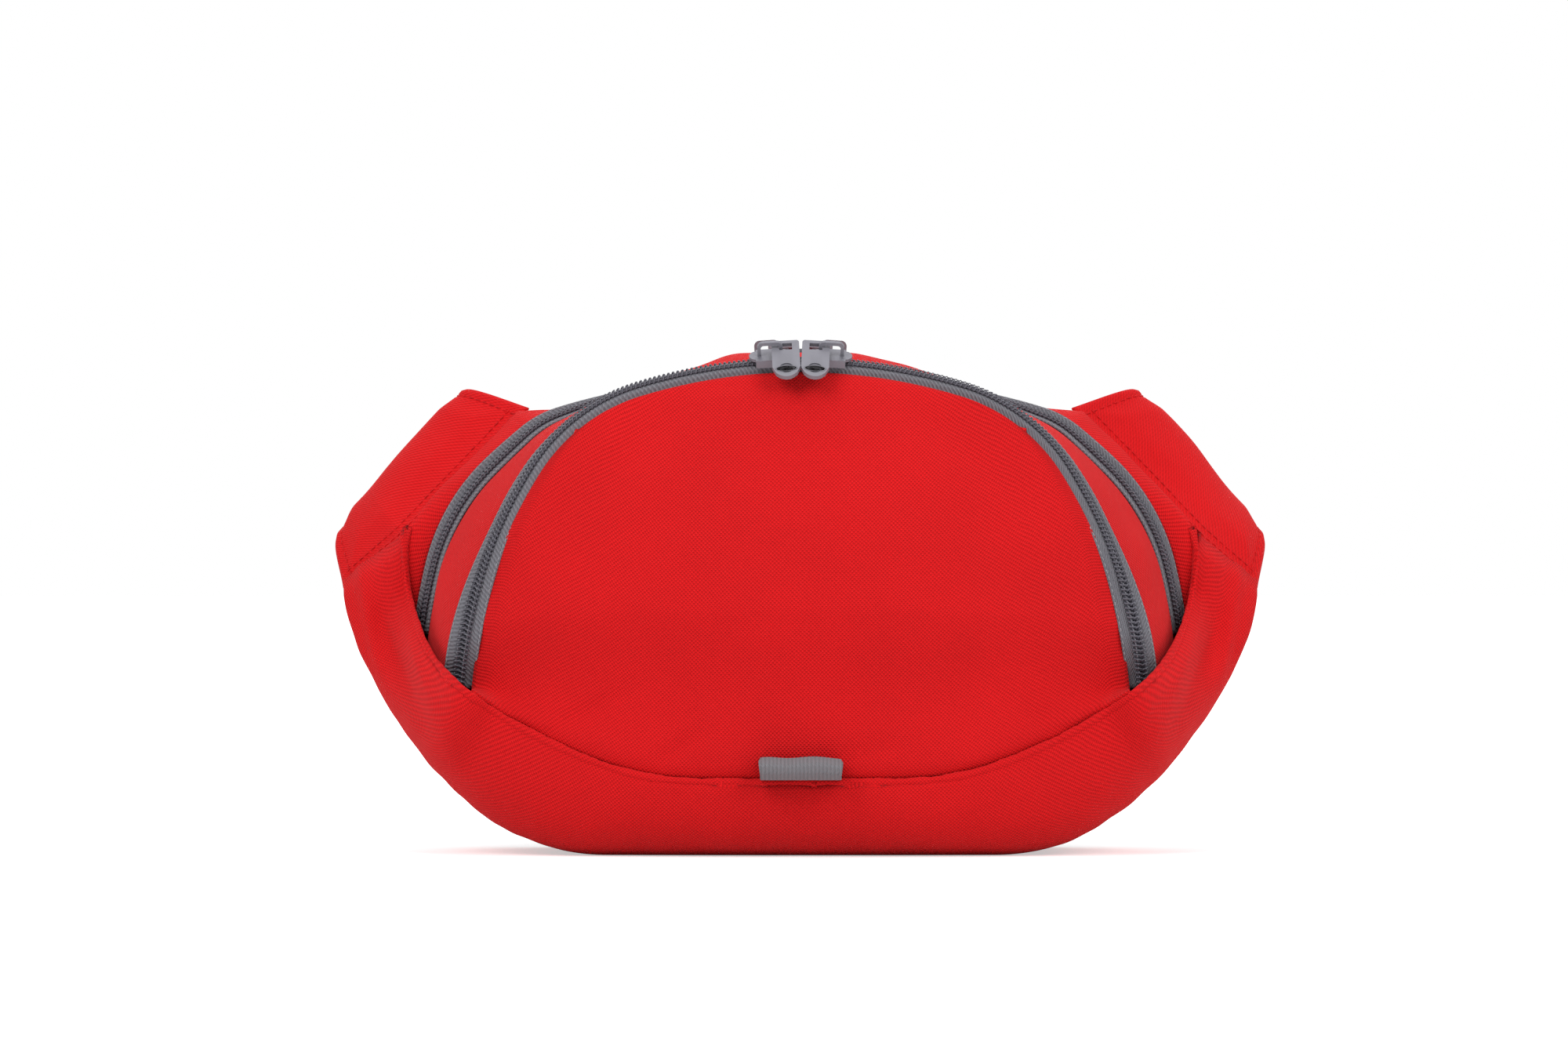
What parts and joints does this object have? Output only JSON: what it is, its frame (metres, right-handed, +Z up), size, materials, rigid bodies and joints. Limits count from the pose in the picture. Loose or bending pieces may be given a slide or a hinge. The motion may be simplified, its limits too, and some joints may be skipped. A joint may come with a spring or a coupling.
{
  "type": "first aid kit",
  "caption": "Red fabric hip-bag first aid kit with two zipped compartments, cradle base, padded belt wings, waist belt with side-release buckle, and first aid contents.",
  "frame": {"origin": "middle of the flat underside that the bag stands on", "axes": "+X to the bag's left-to-right width as seen from the front, -Y out of the front panel, +Z up"},
  "size_m": [0.2994, 0.1633, 0.1636],
  "materials": {
    "red_cloth": "woven polyester, matt",
    "red_lining": "thin lining cloth",
    "grey_tape": "twill zip tape",
    "zip_coil": "nylon coil",
    "grey_metal": "matt enamel",
    "grey_webbing": "ribbed webbing",
    "black_webbing": "ribbed webbing",
    "black_plastic": "fine moulded grain",
    "back_mesh": "spacer mesh over foam",
    "pocket_mesh": "knitted mesh",
    "bandage_cotton": "crepe knit",
    "gauze_cotton": "open weave",
    "white_wrap": "sealed paper wrap",
    "clear_film": "thin film pouch",
    "foil": "crinkled foil",
    "steel": "satin",
    "vial_plastic": "soft clear plastic"
  },
  "bodies": {
    "root": {"front_panel_lower": "red_cloth", "main_tape_outer": "grey_tape", "main_coil_outer": "zip_coil", "middle_gusset": "red_cloth", "rear_tape_inner": "grey_tape", "rear_tape_outer": "grey_tape", "rear_coil": "zip_coil", "rear_gusset": "red_cloth", "cradle_left": "red_cloth", "cradle_middle": "red_cloth", "cradle_right": "red_cloth", "webbing_loop": "grey_webbing", "back_pad": "back_mesh", "back_lining": "red_lining", "divider": "red_lining", "organiser_panel": "black_webbing", "elastic_loops": "black_webbing", "wing_left": "red_cloth", "wing_right": "red_cloth", "strap_left": "black_webbing", "strap_right": "black_webbing", "strap_keeper": "black_webbing", "buckle_socket": "black_plastic", "buckle_plug": "black_plastic", "crepe_bandage": "bandage_cotton", "gauze_bandage": "gauze_cotton", "tape_reel": "white_wrap", "dressing_packs": "white_wrap", "plaster_wallet": "clear_film", "triangular_bandage": "white_wrap", "foil_blanket_pouch": "foil", "glove_pouch": "clear_film", "saline_vials": "vial_plastic", "tweezers": "steel", "scissor_fixed": "steel", "scissor_loop": "black_webbing"},
    "flap": {"front_panel": "red_cloth", "mesh_pocket": "pocket_mesh", "main_tape_inner": "grey_tape", "main_coil_inner": "zip_coil"},
    "main_slider_left": {"main_slider_left": "grey_metal"},
    "main_slider_right": {"main_slider_right": "grey_metal"},
    "main_tab_left": {"main_tab_left": "grey_metal"},
    "main_tab_right": {"main_tab_right": "grey_metal"},
    "rear_slider_left": {"rear_slider_left": "grey_metal"},
    "rear_slider_right": {"rear_slider_right": "grey_metal"},
    "rear_tab_left": {"rear_tab_left": "grey_metal"},
    "rear_tab_right": {"rear_tab_right": "grey_metal"},
    "prong_upper": {"prong_upper": "black_plastic"},
    "prong_lower": {"prong_lower": "black_plastic"},
    "scissor_moving": {"scissor_moving": "steel"}
  },
  "joints": [
    {"name": "flap_fold", "type": "hinge", "parent": "root", "child": "flap", "pos_m": [0, -0.0478, 0.0524], "axis": [1, 0, 0], "range_deg": [0, 95]},
    {"name": "main_slider_left_run", "type": "hinge", "parent": "flap", "child": "main_slider_left", "pos_m": [0, -0.033, -0.0198], "axis": [0, -1, 0], "range_deg": [0, 14]},
    {"name": "main_tab_left_lift", "type": "hinge", "parent": "main_slider_left", "child": "main_tab_left", "pos_m": [-0.00622, -0.03597, 0.15989], "axis": [-0.9984, 0, -0.0571], "range_deg": [0, 40]},
    {"name": "rear_slider_left_run", "type": "hinge", "parent": "root", "child": "rear_slider_left", "pos_m": [0, 0.009, -0.0164], "axis": [0, -1, 0], "range_deg": [0, 10]},
    {"name": "rear_tab_left_lift", "type": "hinge", "parent": "rear_slider_left", "child": "rear_tab_left", "pos_m": [-0.00731, 0.00842, 0.16107], "axis": [0.998, 0, 0.0639], "range_deg": [0, 40]},
    {"name": "main_slider_right_run", "type": "hinge", "parent": "flap", "child": "main_slider_right", "pos_m": [0, -0.033, -0.0198], "axis": [0, 1, 0], "range_deg": [0, 14]},
    {"name": "main_tab_right_lift", "type": "hinge", "parent": "main_slider_right", "child": "main_tab_right", "pos_m": [0.00622, -0.03597, 0.15989], "axis": [-0.9984, 0, 0.0571], "range_deg": [0, 40]},
    {"name": "rear_slider_right_run", "type": "hinge", "parent": "root", "child": "rear_slider_right", "pos_m": [0, 0.009, -0.0164], "axis": [0, 1, 0], "range_deg": [0, 10]},
    {"name": "rear_tab_right_lift", "type": "hinge", "parent": "rear_slider_right", "child": "rear_tab_right", "pos_m": [0.00731, 0.00842, 0.16107], "axis": [0.998, 0, -0.0639], "range_deg": [0, 40]},
    {"name": "prong_upper_squeeze", "type": "hinge", "parent": "root", "child": "prong_upper", "pos_m": [0.009, 0.099, 0.117], "axis": [0, -1, 0], "range_deg": [0, 9], "stiffness_Nm_per_rad": 0.03},
    {"name": "prong_lower_squeeze", "type": "hinge", "parent": "root", "child": "prong_lower", "pos_m": [0.009, 0.099, 0.091], "axis": [0, 1, 0], "range_deg": [0, 9], "stiffness_Nm_per_rad": 0.03},
    {"name": "scissor_pivot", "type": "hinge", "parent": "root", "child": "scissor_moving", "pos_m": [0.046, 0.0106, 0.084], "axis": [0, -1, 0], "range_deg": [0, 35]}
  ]
}
